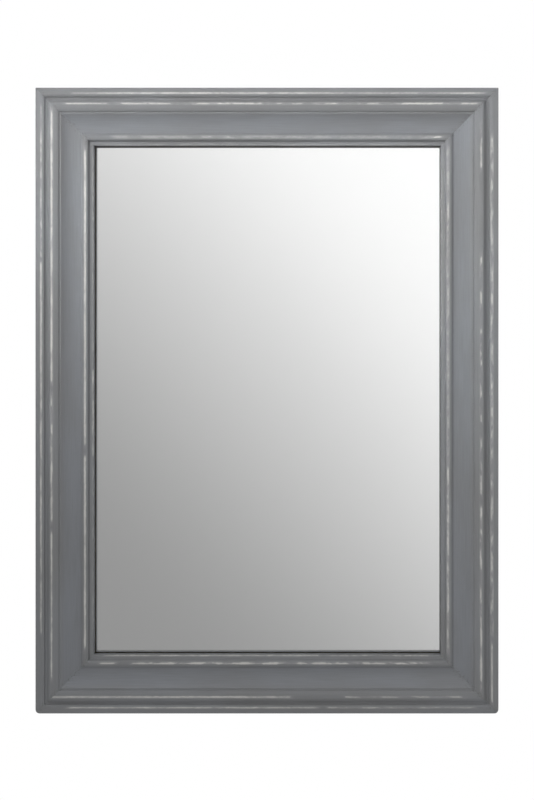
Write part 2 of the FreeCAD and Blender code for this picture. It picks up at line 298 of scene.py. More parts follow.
class StageSettings(bpy.types.PropertyGroup):
    """Camera, lamps and floor."""

    camera_distance: metres("Camera distance", "From the camera to the moulding's outer edge", 1.3, 0.2)
    camera_right: metres("Camera to the right", "How far it stands right of the middle", 0.112, -1.0)
    camera_up: metres("Camera up", "How far it stands above the middle", 0.128, -1.0)
    view_up: metres("View up", "How far the view's middle lies above the mirror's", 0.0008, -1.0)
    view_height: metres("View height", "Height that the picture takes in at the outer edge", 1.1405, 0.1)
    lamp_level: factor("Lamp level", "Factor on the power of every lamp", 1.0)
    ambient: factor("Ambient", "Level of the light from all round", 0.3)
    floor_lift: factor("Floor lift", "Level that is added to the floor where it is seen", 0.42)
    floor_drop: metres("Floor drop", "How far the floor lies below the mirror", 0.95)
    floor_radius: metres("Floor radius", "Where the floor has faded out", 1.2, 0.1)
    card_reach: metres("Card reach", "Half the side of the card that the mirror shows", 5.0, 1.0)
    card_distance: metres("Card distance", "How far the card stands in front of the wall", 2.6, 1.0)


class Value:
    """A socket of a node tree, on which arithmetic adds Math nodes."""

    def __init__(self, tree, socket):
        self.tree, self.socket = tree, socket

    def maths(self, operation, *others):
        """The result of a Math node."""
        return add(self.tree, "ShaderNodeMath", dict(enumerate((self, *others))), operation=operation)

    def __add__(self, other):
        return self.maths("ADD", other)

    def __sub__(self, other):
        return self.maths("SUBTRACT", other)

    def __rsub__(self, other):
        return add(self.tree, "ShaderNodeMath", {0: other, 1: self}, operation="SUBTRACT")

    def __mul__(self, other):
        return self.maths("MULTIPLY", other)

    def __truediv__(self, other):
        return self.maths("DIVIDE", other)

    def most(self, other):
        """The greater of the two."""
        return self.maths("MAXIMUM", other)

    def ramp(self, low, high, to_low=0.0, to_high=1.0):
        """Taken smoothly from one range to another, and held at its ends."""
        inputs = {"Value": self, "From Min": low, "From Max": high}
        inputs.update({"To Min": to_low, "To Max": to_high})
        return add(self.tree, "ShaderNodeMapRange", inputs, interpolation_type="SMOOTHSTEP")

    def mix(self, first, second):
        """Two colours mixed by this amount."""
        inputs = {0: self, 6: rgba(first), 7: rgba(second)}
        return add(self.tree, "ShaderNodeMix", inputs, output=2, data_type="RGBA")

    def tinted(self, colour):
        """This colour multiplied by another."""
        inputs = {0: 1.0, 6: self, 7: rgba(colour)}
        settings = {"data_type": "RGBA", "blend_type": "MULTIPLY"}
        return add(self.tree, "ShaderNodeMix", inputs, output=2, **settings)

    def bump(self, distance, strength):
        """The normal for this height, over a distance in metres."""
        inputs = {"Height": self, "Distance": distance, "Strength": strength}
        return add(self.tree, "ShaderNodeBump", inputs)


def rgba(colour):
    """A colour with its alpha, or a value as it is."""
    return colour if isinstance(colour, Value) else (*colour, 1.0)


def add(tree, kind, inputs=None, output=0, **settings):
    """An output of a new node, whose inputs go by name or number."""
    node = tree.nodes.new(kind)
    for name, value in settings.items():
        setattr(node, name, value)
    for key, value in (inputs or {}).items():
        if isinstance(value, Value):
            tree.links.new(value.socket, node.inputs[key])
        else:
            node.inputs[key].default_value = value
    return Value(tree, node.outputs[output]) if node.outputs else None


def combine(tree, x=0.0, y=0.0, z=0.0):
    """A vector from three numbers."""
    return add(tree, "ShaderNodeCombineXYZ", {0: x, 1: y, 2: z})


def noise(tree, place, detail=3.0, roughness=0.5):
    """Noise between 0 and 1 at a place."""
    inputs = {"Vector": place, "Scale": 1.0, "Detail": detail, "Roughness": roughness}
    return add(tree, "ShaderNodeTexNoise", inputs)


def attribute(tree, name):
    """One of the mesh's own numbers, in a material."""
    return add(tree, "ShaderNodeAttribute", output="Fac", attribute_name=name)


def field(tree, name):
    """One of the mesh's own numbers, in a geometry tree."""
    kind = "GeometryNodeInputNamedAttribute"
    return add(tree, kind, {"Name": name}, output="Attribute", data_type="FLOAT")


def stretched(tree, *scales):
    """Object coordinates, with each axis scaled by its own number or all by one."""
    inputs = {"Vector": add(tree, "ShaderNodeTexCoord", output="Object")}
    inputs["Scale"] = scales if len(scales) == 3 else scales * 3
    return add(tree, "ShaderNodeMapping", inputs)


def new_material(name, **plain):
    """A material and its tree, with plain values on the shader's sockets."""
    material = bpy.data.materials.new(name)
    material.use_nodes = True
    shader = material.node_tree.nodes["Principled BSDF"]
    for socket, value in plain.items():
        shader.inputs[socket.replace("_", " ")].default_value = value
    return material, material.node_tree


def shade(material, **values):
    """Links values to the sockets of a material's shader, and returns the material."""
    tree = material.node_tree
    shader = tree.nodes["Principled BSDF"]
    for socket, value in values.items():
        tree.links.new(value.socket, shader.inputs[socket.replace("_", " ")])
    return material


def new_tree(name, inputs):
    """A geometry tree and its inputs, each given as its kind and its subtype."""
    tree = bpy.data.node_groups.new(name, "GeometryNodeTree")
    tree.interface.new_socket(name="Geometry", in_out="OUTPUT", socket_type="NodeSocketGeometry")
    for title, kind in {"Geometry": "Geometry", **inputs}.items():
        kind, _, subtype = kind.partition(" ")
        socket = tree.interface.new_socket(name=title, in_out="INPUT", socket_type=f"NodeSocket{kind}")
        if subtype:
            socket.subtype = subtype
    given = tree.nodes.new("NodeGroupInput").outputs
    return tree, {socket.name: Value(tree, socket) for socket in given if socket.name}


def smooth_shaded(tree, geometry, degrees):
    """Smooth shading, but for the edges that turn by more than an angle."""
    turn = add(tree, "GeometryNodeInputMeshEdgeAngle", output="Unsigned Angle")
    sharp = turn.maths("GREATER_THAN", math.radians(degrees))
    smooth = add(tree, "GeometryNodeSetShadeSmooth", {0: geometry, "Shade Smooth": True})
    inputs = {0: smooth, "Selection": sharp, "Shade Smooth": False}
    return add(tree, "GeometryNodeSetShadeSmooth", inputs, domain="EDGE")


def swept(tree, path, section):
    """A closed surface swept along a curve."""
    inputs = {"Curve": path, "Profile Curve": section, "Fill Caps": True}
    return add(tree, "GeometryNodeCurveToMesh", inputs)


def closed_tree(tree, geometry, material):
    """The tree, ended with real geometry and its material."""
    real = add(tree, "GeometryNodeRealizeInstances", {0: geometry})
    done = add(tree, "GeometryNodeSetMaterial", {0: real, "Material": material})
    add(tree, "NodeGroupOutput", {0: done})
    return tree


def linked_object(name, data, *materials):
    """An object in the scene for a mesh, a lamp's data or a camera's."""
    for material in materials:
        data.materials.append(material)
    made = bpy.data.objects.new(name, data)
    bpy.context.scene.collection.objects.link(made)
    return made


def bmesh_object(name, bm, *materials, least_sharp=None):
    """An object for a bmesh, with its faces turned outwards.

    With an angle in degrees, it is smooth but for the edges that turn by as much.
    """
    bmesh.ops.recalc_face_normals(bm, faces=bm.faces)
    if least_sharp is not None:
        for face in bm.faces:
            face.smooth = True
        for edge in bm.edges:
            edge.smooth = edge.calc_face_angle(0.0) < math.radians(least_sharp)
    mesh = bpy.data.meshes.new(name)
    bm.to_mesh(mesh)
    bm.free()
    return linked_object(name, mesh, *materials)


def line_object(name, places, closed=False, numbers=None, joined=True):
    """A mesh of points, joined in a line or loose, with named numbers at each point."""
    edges = [(i, i + 1) for i in range(len(places) - 1)] if joined else []
    if closed:
        edges.append((len(places) - 1, 0))
    mesh = bpy.data.meshes.new(name)
    mesh.from_pydata(places, edges, [])
    for label, values in (numbers or {}).items():
        mesh.attributes.new(label, "FLOAT", "POINT").data.foreach_set("value", values)
    return linked_object(name, mesh)


def finished(name, source, tree, values):
    """Runs a geometry tree on an object with its named inputs, and returns a plain mesh object."""
    modifier = source.modifiers.new(tree.name, "NODES")
    modifier.node_group = tree
    for item in tree.interface.items_tree:
        if item.in_out == "INPUT" and item.name in values:
            modifier[item.identifier] = values[item.name]
    evaluated = source.evaluated_get(bpy.context.evaluated_depsgraph_get())
    mesh = bpy.data.meshes.new_from_object(evaluated)
    mesh.name = name
    source.modifiers.clear()
    bpy.data.objects.remove(source)
    return linked_object(name, mesh)


def circle_points(x, y, radius, first, last, steps):
    """Points of an arc from one angle to another, with both its ends."""
    angles = [first + (last - first) * i / steps for i in range(steps + 1)]
    return [(x + radius * math.cos(a), y + radius * math.sin(a)) for a in angles]


def arc_points(start, middle, end, step):
    """Points of the arc through three points, without its start."""
    a, b, c = (complex(*point) for point in (start, middle, end))
    w = (c - a) / (b - a)
    centre = a + (b - a) * (w - abs(w) ** 2) / (2j * w.imag)
    radius, first = cmath.polar(a - centre)
    through, turn = (cmath.phase((p - centre) / (a - centre)) % math.tau for p in (b, c))
    if through > turn:
        turn -= math.tau
    steps = max(3, math.ceil(abs(turn) * radius / step))
    return circle_points(centre.real, centre.imag, radius, first, first + turn, steps)[1:]


def rounded(points, radius):
    """A closed outline with each sharp corner rounded."""
    least_turn, most_of_side, steps = math.radians(18), 0.45, 4
    made = []
    for i, here in enumerate(points):
        here = Vector(here)
        sides = [Vector(points[j % len(points)]) - here for j in (i - 1, i + 1)]
        turn = math.pi - sides[0].angle(sides[1])
        if turn < least_turn:
            made.append(tuple(here))
            continue
        cut = radius * math.tan(turn / 2)
        start, end = (here + s.normalized() * min(cut, most_of_side * s.length) for s in sides)
        for j in range(steps + 1):
            t = j / steps
            made.append(tuple(start * (1 - t) ** 2 + here * 2 * t * (1 - t) + end * t * t))
    return made


def face_place(shares, sizes):
    """A point of the face from its shares, as u and h in metres."""
    lip_top = MOULDING_DEPTH - sizes.relief
    return (shares[0] * MOULDING_WIDTH, lip_top + shares[1] * sizes.relief)


def section_outline(sizes):
    """The moulding's closed section, as points u in from the outer edge and h above the back."""
    wall = MOULDING_WIDTH - sizes.rabbet_lip
    ledge = wall - sizes.ledge
    ease = 2 * sizes.corner_round
    points = [(wall, GLASS_FRONT_HEIGHT), (wall, REBATE_DEPTH), (ledge, REBATE_DEPTH), (ledge, 0)]
    points += [(ease, 0), (0, ease)]
    for shares in FACE_SHARES:
        if isinstance(shares[0], tuple):
            middle, end = (face_place(s, sizes) for s in shares)
            points += arc_points(points[-1], middle, end, sizes.section_step)
        else:
            points.append(face_place(shares, sizes))
    points.append((MOULDING_WIDTH, GLASS_FRONT_HEIGHT))
    return rounded(points, sizes.corner_round)


def arris_distance(points, side, arris, sizes):
    """How far each point lies from where an arris is rubbed on a side."""
    across, height = ARRIS_SHARES[arris]
    u, h = face_place((across + ARRIS_SHIFTS.get((side, arris), 0.0), height), sizes)
    return np.hypot(points[:, 0] - u, points[:, 1] - h)


def fine_section(side, sizes):
    """The section with points added, closer ones near the rubbed arrises."""
    unseen_steps = 8  # how many times longer a stretch is where nothing shows
    outline = section_outline(sizes)
    made = []
    for here, there in zip(outline, outline[1:] + outline[:1]):
        middle = np.array([[(here[0] + there[0]) / 2, (here[1] + there[1]) / 2]])
        near = min(arris_distance(middle, side, arris, sizes)[0] for arris in ARRIS_SHARES)
        step = sizes.arris_step if near < 2 * sizes.rub_radius else sizes.section_step
        seen = min(here[1], there[1]) > REBATE_DEPTH + step
        parts = math.ceil(math.dist(here, there) / (step if seen else unseen_steps * step))
        made += [tuple(Vector(here).lerp(Vector(there), i / parts)) for i in range(parts)]
    return np.array(made)


def section_object(side, sizes):
    """The section as a closed line that carries where it is rubbed and painted."""
    points = fine_section(side, sizes)
    numbers = {"across": points[:, 0], "height": points[:, 1]}
    for arris in ARRIS_SHARES:
        share = arris_distance(points, side, arris, sizes) / sizes.rub_radius
        numbers[f"arris_{arris}"] = np.clip(1 - share, 0, 1)
    wall = MOULDING_WIDTH - sizes.rabbet_lip - sizes.ledge
    inside = (points[:, 0] > wall - sizes.corner_round) & (points[:, 1] <= GLASS_FRONT_HEIGHT)
    bare = inside | (points[:, 1] < sizes.corner_round)
    numbers["painted"] = np.where(bare, 0.0, 1.0)
    return line_object("moulding_section", [(u, h, 0) for u, h in points], True, numbers)


def span_amount(shares, spans, column, least):
    """One of the spans' amounts at each share of the length, with soft ends."""
    fade = 0.012
    made = np.full(len(shares), least)
    for span in spans:
        rise = np.clip((shares - span[0]) / fade, 0, 1)
        fall = np.clip((span[1] - shares) / fade, 0, 1)
        made = np.maximum(made, span[column] * np.minimum(rise, fall))
    return made


def path_object(side, length, index, sizes):
    """The line along a side that carries how worn each arris is there."""
    run, grain_apart = SHARE_RUNS[side], 3.0
    first, last = (side, side) if side in CORNER_EASES else ("top", "bottom")
    eases = (CORNER_EASES[first], CORNER_EASES[last])
    ease = max(eases)
    half = length / 2
    middle = np.linspace(ease - half, half - ease, math.ceil(length / sizes.length_step))
    # Points lie closer together where a corner is knocked round.
    end = half - ease * np.array((0.0, 0.1, 0.22, 0.35, 0.5, 0.75))
    along = np.concatenate((-end, middle, end[::-1]))
    numbers = {
        "along": along,
        "run": along + index * grain_apart,
        "ease": np.where(along * run < 0, *eases),
        # The side's level is painted shade, carried to the paint
        "level": np.full(len(along), SIDE_SHADE_LEVELS[side]),
    }
    for arris, spans in RUB_SHARES[side].items():
        narrowing = 1 - 2 * ARRIS_SHARES[arris][0] * MOULDING_WIDTH / length
        shares = 0.5 + run * along * narrowing / length
        # A span holds its two ends and then its amounts.
        for column, (kind, least) in enumerate(WEAR_KINDS.items(), 2):
            numbers[f"{kind}_{arris}"] = span_amount(shares, spans, column, least)
    return line_object(f"{side}_path", [(x, 0, 0) for x in along], numbers=numbers)


def moulding_tree():
    """Sweeps the section along a side, mitres it, rubs its arrises and turns it into place."""
    metre = "Float DISTANCE"
    inputs = {"Section": "Object", "Length": metre, "Back": metre, "Rub depth": metre}
    inputs.update({"Turn": "Vector EULER", "Place": "Vector TRANSLATION", "Material": "Material"})
    tree, given = new_tree("Moulding sweep", inputs)
    path = add(tree, "GeometryNodeMeshToCurve", {0: given["Geometry"]})
    section = add(tree, "GeometryNodeObjectInfo", {"Object": given["Section"]}, output="Geometry")
    outline = add(tree, "GeometryNodeMeshToCurve", {0: section})
    # The mitring turns the sweep inside out, so its faces are flipped.
    bar = add(tree, "GeometryNodeFlipFaces", {0: swept(tree, path, outline)})

    along, across, height, ease = (field(tree, n) for n in ("along", "across", "height", "ease"))
    half = given["Length"] * 0.5
    reach = along * (1.0 - across / half)
    to_end = half - reach.maths("ABSOLUTE")
    # A knocked corner is pulled in along its mitre, about as far as a quarter circle would be.
    corner_cut, fall_off = 1 - math.sqrt(0.5), 1.6
    nearness = (1.0 - to_end.most(across) / ease).most(0.0)
    pull = nearness.maths("POWER", fall_off) * ease * corner_cut
    x = reach - along.maths("SIGN") * pull
    mitred = combine(tree, x, given["Back"] - height, across + pull)
    bar = add(tree, "GeometryNodeSetPosition", {0: bar, "Position": mitred})

    # A point is as worn as the arris that wears it most, less so further from it.
    wear = {}
    for arris in ARRIS_SHARES:
        near = field(tree, f"arris_{arris}")
        close = near.ramp(0.02, 0.4)
        for kind in WEAR_KINDS:
            here = (near if kind == "rub" else close) * field(tree, f"{kind}_{arris}")
            wear[kind] = wear[kind].most(here) if kind in wear else here
    uneven = noise(tree, combine(tree, field(tree, "run") * 34.0, across * 60.0), detail=2.0)
    uneven = add(tree, "ShaderNodeMapRange", {0: uneven, 1: 0.3, 2: 0.7, 3: 0.9, 4: 1.1})
    wear["rub"] *= uneven
    for name, value in {"joint": to_end - across, **wear}.items():
        inputs = {0: bar, "Name": name, "Value": value}
        bar = add(tree, "GeometryNodeStoreNamedAttribute", inputs, data_type="FLOAT", domain="POINT")

    depth = wear["rub"] * (given["Rub depth"] * -1.0)
    inputs = {0: add(tree, "GeometryNodeInputNormal"), "Scale": depth}
    sink = add(tree, "ShaderNodeVectorMath", inputs, operation="SCALE")
    bar = add(tree, "GeometryNodeSetPosition", {0: bar, "Offset": sink})
    inputs = {0: smooth_shaded(tree, bar, 32), "Translation": given["Place"], "Rotation": given["Turn"]}
    return closed_tree(tree, add(tree, "GeometryNodeTransform", inputs), given["Material"])


def painted_timber(colours):
    """Cool grey paint, brushed along the length, rubbed through on the arrises; bare behind."""
    material, tree = new_material("Painted timber", Specular_IOR_Level=0.42)
    names = ("run", "across", "rub", "thin", "break", "painted", "joint", "level")
    run, across, rubbed, thinned, broken, painted, joint, level = (attribute(tree, n) for n in names)

    def grain(run_scale, across_scale, detail=3.0, roughness=0.5):
        place = combine(tree, run * run_scale, across * across_scale)
        return noise(tree, place, detail, roughness)

    # The top coat
    clouds = grain(5.0, 16.0)
    strokes = grain(16.0, 900.0, 4.0, 0.6)
    hollow = across.ramp(*COVE_RISE) - across.ramp(*COVE_FALL)
    # The coat is darkened or lightened by its side's level: painted shade for how the light falls on that
    # side
    coat = hollow.mix(colours.handled, colours.paint).tinted(level)
    tone = clouds.ramp(0.3, 0.7).mix((0.94, 0.93, 0.92), (1.04, 1.05, 1.07))
    streak = strokes.ramp(0.3, 0.7).mix((0.95, 0.95, 0.95), (1.05, 1.05, 1.05))
    paint = coat.tinted(tone).tinted(streak)

    # Where it is rubbed thin, and through to the undercoat
    scuffs = grain(150.0, 2400.0, 3.0, 0.6)
    patches = grain(36.0, 110.0, 2.0).ramp(0.4, 0.6, -0.5, 0.5)
    wavering = scuffs * 0.5 + (patches * (broken * 0.3 + 0.04) - 0.25)
    bare = rubbed + wavering
    thin = thinned * (wavering * 2.4 + 0.5) * 0.5
    thin = thin.most(bare.ramp(0.15, 0.5) * 0.2)
    through = bare.ramp(0.42, 0.66, 0.0, 0.9)
    chips = grain(260.0, 900.0, 4.0, 0.65)
    undercoat = chips.mix((0.9, 0.9, 0.9), (1.08, 1.08, 1.07)).tinted(colours.bared)
    face = through.mix(thin.mix(paint, undercoat), undercoat)

    # Bare wood behind, and dirt in the mitres
    wood = grain(9.0, 420.0, 5.0, 0.62)
    timber = wood.ramp(0.3, 0.7).mix((0.72, 0.66, 0.6), (1.1, 1.08, 1.05)).tinted(colours.timber)
    specks = grain(420.0, 420.0, 3.0, 0.6).ramp(0.5, 0.66, 0.0, 0.45)
    dirt = (specks * joint.ramp(0.0, 0.011, 1.0, 0.0)).most(joint.ramp(0.0, 0.0005, 0.25, 0.0))
    colour = dirt.mix(painted.mix(timber, face), colours.grime)

    coated = painted * (1.0 - through)
    gloss = coated.ramp(0.0, 1.0, 0.82, 0.5) + (strokes * 0.16 - 0.08)
    height = coated * 0.6 + (strokes * 0.25 + wood * 0.12)
    return shade(material, Base_Color=colour, Roughness=gloss, Normal=height.bump(0.0002, 0.7))


def dress(piece, body, node):
    """Hands a finished piece over: it rides on a body, and the CAD part it stands for is hidden."""
    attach(piece, body)
    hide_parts(node)


def node_material(nodes, material):
    """Gives CAD nodes a material."""
    for name in nodes:
        slots = frame["nodes"][name].data.materials
        slots.clear()
        slots.append(material)


class MIRROR_OT_moulding(bpy.types.Operator):
    """Sweep and mitre the four lengths of moulding"""

    bl_idname = "mirror.moulding"
    bl_label = "Moulding"
    bl_options = {"REGISTER", "UNDO"}

    def execute(self, context):
        sizes = context.scene.mirror_moulding
        material = painted_timber(context.scene.mirror_paint)
        tree = moulding_tree()
        for index, (side, turn) in enumerate(SIDE_TURNS.items()):
            length = FRAME_WIDTH if side in ("bottom", "top") else FRAME_HEIGHT
            turn = math.radians(turn)
            x, z = -math.sin(turn) * FRAME_WIDTH / 2, -math.cos(turn) * FRAME_HEIGHT / 2
            section = section_object(side, sizes)
            values = {
                "Section": section,
                "Length": length,
                "Back": FRAME_BACK_Y,
                "Rub depth": sizes.rub_depth,
                "Turn": (0.0, turn, 0.0),
                "Place": (x, 0.0, FRAME_MIDDLE_Z + z),
                "Material": material,
            }
            path = path_object(side, length, index, sizes)
            bar = finished(f"{side}_moulding", path, tree, values)
            dress(bar, BODY, SIDE_NODES[side])
            bpy.data.objects.remove(section)
        return {"FINISHED"}


def float_glass():
    """Clear plate glass with a slight green tint."""
    material, tree = new_material("Float glass", Roughness=0.0, IOR=1.52, Transmission_Weight=1.0)
    clouds = noise(tree, stretched(tree, 6.0))
    return shade(material, Base_Color=clouds.mix((0.984, 0.988, 0.986), (0.99, 0.993, 0.991)))


def silver():
    """Bright silver, seen through the glass."""
    material, tree = new_material("Silvering", Metallic=1.0, Roughness=0.0)
    clouds = noise(tree, stretched(tree, 9.0))
    return shade(material, Base_Color=clouds.mix((0.962, 0.958, 0.958), (0.970, 0.966, 0.966)))


def backing_paint():
    """Grey paint that protects the silver from behind."""
    material, tree = new_material("Backing paint", Roughness=0.6)
    clouds = noise(tree, stretched(tree, 25.0), detail=4.0)
    tone = clouds.mix((0.20, 0.215, 0.21), (0.24, 0.255, 0.25))
    return shade(material, Base_Color=tone, Normal=clouds.bump(0.00005, 0.5))


def silver_sheet(sizes):
    """The silver a hair behind the glass, and the paint on its back and edges."""
    low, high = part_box("silvering")
    low = low + Vector((0, sizes.silver_gap, 0))
    size = high - low
    place = Matrix.Translation((low + high) / 2) @ Matrix.Diagonal(size).to_4x4()
    bm = bmesh.new()
    bmesh.ops.create_cube(bm, size=1)
    bmesh.ops.transform(bm, matrix=place, verts=bm.verts)
    corners = [e for e in bm.edges if abs(e.verts[0].co.y - e.verts[1].co.y) > size.y / 2]
    shape = {"offset": sizes.glass_corner, "segments": 4, "profile": 0.5}
    bmesh.ops.bevel(bm, geom=corners, affect="EDGES", **shape)
    for face in bm.faces:
        face.material_index = 0 if face.normal.y < -0.5 else 1
    return bmesh_object("silver_coating", bm, silver(), backing_paint())


def rubber():
    """Matt black rubber."""
    material, tree = new_material("Black rubber", Specular_IOR_Level=0.3)
    specks = noise(tree, stretched(tree, 900.0), detail=2.0)
    tone = specks.mix((0.012, 0.012, 0.013), (0.032, 0.032, 0.034))
    gloss = specks.ramp(0.2, 0.8, 0.62, 0.8)
    return shade(material, Base_Color=tone, Roughness=gloss, Normal=specks.bump(0.0001, 0.5))


def foam():
    """Pale closed-cell foam."""
    material, tree = new_material("Packing foam", Roughness=0.9)
    inputs = {"Vector": stretched(tree, 1.0), "Scale": 1400.0}
    cells = add(tree, "ShaderNodeTexVoronoi", inputs, output="Distance")
    tone = cells.mix((0.6, 0.6, 0.58), (0.74, 0.74, 0.72))
    return shade(material, Base_Color=tone, Normal=cells.bump(0.0002, 0.5))


def fibreboard():
    """Smooth brown hardboard with pressed fibres."""
    material, tree = new_material("Hardboard", Specular_IOR_Level=0.35)
    clouds = noise(tree, stretched(tree, 7.0), detail=4.0)
    fibres = noise(tree, stretched(tree, 260.0, 260.0, 150.0), detail=5.0, roughness=0.7)
    tone = clouds.ramp(0.3, 0.7).mix((0.245, 0.15, 0.085), (0.30, 0.19, 0.11))
    fleck = fibres.ramp(0.3, 0.72).mix((0.72, 0.7, 0.68), (1.16, 1.15, 1.12))
    gloss = fibres.ramp(0.2, 0.8, 0.5, 0.7)
    return shade(material, Base_Color=tone.tinted(fleck), Roughness=gloss, Normal=fibres.bump(0.0001, 0.4))


def metal(name):
    """One of the metals, with faint tumbling marks."""
    first, second, rough = METALS[name]
    material, tree = new_material(name, Metallic=1.0)
    marks = noise(tree, stretched(tree, 700.0, 700.0, 220.0), detail=4.0)
    tone = noise(tree, stretched(tree, 90.0), detail=2.0).mix(first, second)
    gloss = marks.ramp(0.25, 0.75, rough, rough + 0.14)
    return shade(material, Base_Color=tone, Roughness=gloss, Normal=marks.bump(0.00001, 0.5))


class MIRROR_OT_pane(bpy.types.Operator):
    """Finish the glass, its silvering, and the blocks and packing round it"""

    bl_idname = "mirror.pane"
    bl_label = "Pane"
    bl_options = {"REGISTER", "UNDO"}

    def execute(self, context):
        names = frame["nodes"]
        node_material(["mirror_glass"], float_glass())
        dress(silver_sheet(context.scene.mirror_pane), BODY, "silvering")
        node_material([n for n in names if "_block_" in n], rubber())
        node_material([n for n in names if n.startswith("packing_strip")], foam())
        return {"FINISHED"}


def lathe(profile, steps):
    """A bmesh of a profile of radius and height turned about Y, and its first ring."""
    bm = bmesh.new()
    rings = []
    for radius, y in profile:
        angles = [math.tau * i / steps for i in range(steps if radius else 1)]
        rings.append([bm.verts.new((radius * math.cos(a), y, radius * math.sin(a))) for a in angles])
    for here, there in zip(rings, rings[1:]):
        for i in range(steps):
            j = (i + 1) % steps
            places = ((here, i), (here, j), (there, j), (there, i))
            corners = list(dict.fromkeys(ring[k % len(ring)] for ring, k in places))
            if len(corners) > 2:
                bm.faces.new(corners)
    return bm, rings[0]


def cross_outline(width, span):
    """The outline of a cross recess with rounded ends, as X and Z."""
    half, reach = width / 2, span / 2
    quarter = math.pi / 2
    arm = [(half, half), *circle_points(reach - half, 0.0, half, quarter, -quarter, 4)]
    points = []
    for turn in range(4):
        c, n = round(math.cos(turn * quarter)), round(math.sin(turn * quarter))
        points += [(x * c + z * n, z * c - x * n) for x, z in arm]
    return points


def screw_object(name, sizes, profile):
    """A screw along minus Y with a cross recess, from its profile down from the crown."""
    bm, crown = lathe(profile, sizes.screw_facets)
    outline = cross_outline(sizes.recess_width, sizes.recess_span)
    top, taper = profile[0][1], 0.72
    lip = [bm.verts.new((x, top, z)) for x, z in outline]
    edges = [bm.edges.get((crown[i], crown[i - 1])) for i in range(len(crown))]
    edges += [bm.edges.new((lip[i], lip[i - 1])) for i in range(len(lip))]
    bmesh.ops.triangle_fill(bm, use_beauty=True, edges=edges, normal=(0, 1, 0))
    for face in [f for f in bm.faces if all(v in lip for v in f.verts)]:
        centre = face.calc_center_median()
        if min(abs(centre.x), abs(centre.z)) < sizes.recess_width / 2:
            bm.faces.remove(face)
    floor_y = top - sizes.recess_depth
    foot = [bm.verts.new((x * taper, floor_y, z * taper)) for x, z in outline]
    for i in range(len(lip)):
        bm.faces.new((lip[i - 1], lip[i], foot[i], foot[i - 1]))
    bm.faces.new(foot)
    return bmesh_object(name, bm)


def board_screw_profile(sizes):
    """A countersunk head and shank. Its face lies at Y 0."""
    head, shank = sizes.board_head_radius, sizes.board_shank_radius
    cone = [(0.62 * head, 0.0), (0.965 * head, 0.0), (head, -0.00006), (head, -0.0002)]
    return cone + [(1.25 * shank, -0.00125), (shank, -0.0016), (shank, -0.0100), (0.0, -0.0120)]


def hanger_screw_profile(sizes):
    """A pan head and shank. Its seat lies at Y 0."""
    head, shank = sizes.hanger_head_radius, sizes.hanger_shank_radius
    pan = [(0.58 * head, 0.00196), (0.80 * head, 0.00188), (0.92 * head, 0.00155)]
    pan += [(0.985 * head, 0.00105), (head, 0.0005), (0.99 * head, 0.00008), (0.96 * head, 0.0)]
    return pan + [(shank, 0.0), (shank, -0.0116), (0.0, -0.0140)]


def scatter_tree():
    """Puts a copy of a piece at every point, each turned by a random angle about its own axis."""
    inputs = {"Piece": "Object", "Seed": "Int", "Material": "Material"}
    tree, given = new_tree("Fasteners on points", inputs)
    piece = add(tree, "GeometryNodeObjectInfo", {"Object": given["Piece"]}, output="Geometry")
    inputs = {2: 0.0, 3: math.tau, "Seed": given["Seed"]}
    angle = add(tree, "FunctionNodeRandomValue", inputs, output=1)
    inputs = {"Points": given["Geometry"], "Instance": smooth_shaded(tree, piece, 38)}
    inputs["Rotation"] = combine(tree, 0.0, angle, 0.0)
    copies = add(tree, "GeometryNodeInstanceOnPoints", inputs)
    return closed_tree(tree, copies, given["Material"])


def wire_tree():
    """Sweeps round wire along a line."""
    inputs = {"Radius": "Float DISTANCE", "Facets": "Int", "Material": "Material"}
    tree, given = new_tree("Bent wire", inputs)
    line = add(tree, "GeometryNodeMeshToCurve", {0: given["Geometry"]})
    inputs = {"Resolution": given["Facets"], "Radius": given["Radius"]}
    section = add(tree, "GeometryNodeCurvePrimitiveCircle", inputs)
    wire = smooth_shaded(tree, swept(tree, line, section), 50)
    return closed_tree(tree, wire, given["Material"])


def spread(many, half):
    """Evenly spaced places from minus half to half."""
    return [half * (2 * i / (many - 1) - 1) for i in range(many)]


def board_screw_places(sizes, moulding):
    """Where the heads of the board's screws lie."""
    low, high = BOARD_BOX
    across = spread(sizes.screws_across, (high.x - low.x) / 2 - sizes.screw_margin)
    down = spread(sizes.screws_down, (high.z - low.z) / 2 - sizes.screw_margin)
    inset = MOULDING_WIDTH - moulding.rabbet_lip - moulding.ledge / 2
    x, z = FRAME_WIDTH / 2 - inset, FRAME_HEIGHT / 2 - inset
    rows = [(a, high.y, FRAME_MIDDLE_Z + side * z) for a in across for side in (-1, 1)]
    return rows + [(side * x, high.y, FRAME_MIDDLE_Z + d) for d in down for side in (-1, 1)]


def scattered_screws(name, piece, places, seed):
    """Zinc screws at places, from one screw that is then removed."""
    points = line_object(f"{name}_places", places, joined=False)
    values = {"Piece": piece, "Seed": seed, "Material": metal("Yellow zinc")}
    screws = finished(name, points, scatter_tree(), values)
    bpy.data.objects.remove(piece)
    return screws


def ring_points(sizes, ring):
    """The centre line of a D-ring, from one end of its straight bar round to the other."""
    low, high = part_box(ring)
    wire, corner, quarter = sizes.wire_radius, sizes.ring_corner, math.pi / 2
    x, y = (low.x + high.x) / 2, (low.y + high.y) / 2
    bar, half = low.z + wire, (high.x - low.x) / 2 - wire
    points = [(sizes.ring_gap / 2, 0.0), (0.5 * (half - corner), 0.0)]
    points += circle_points(half - corner, corner, corner, -quarter, 0.0, 8)
    points += circle_points(0.0, high.z - wire - half - bar, half, 0.0, quarter, 24)
    points += [(-px, pz) for px, pz in reversed(points[:-1])]
    return [(x + px, y, bar + pz) for px, pz in points]


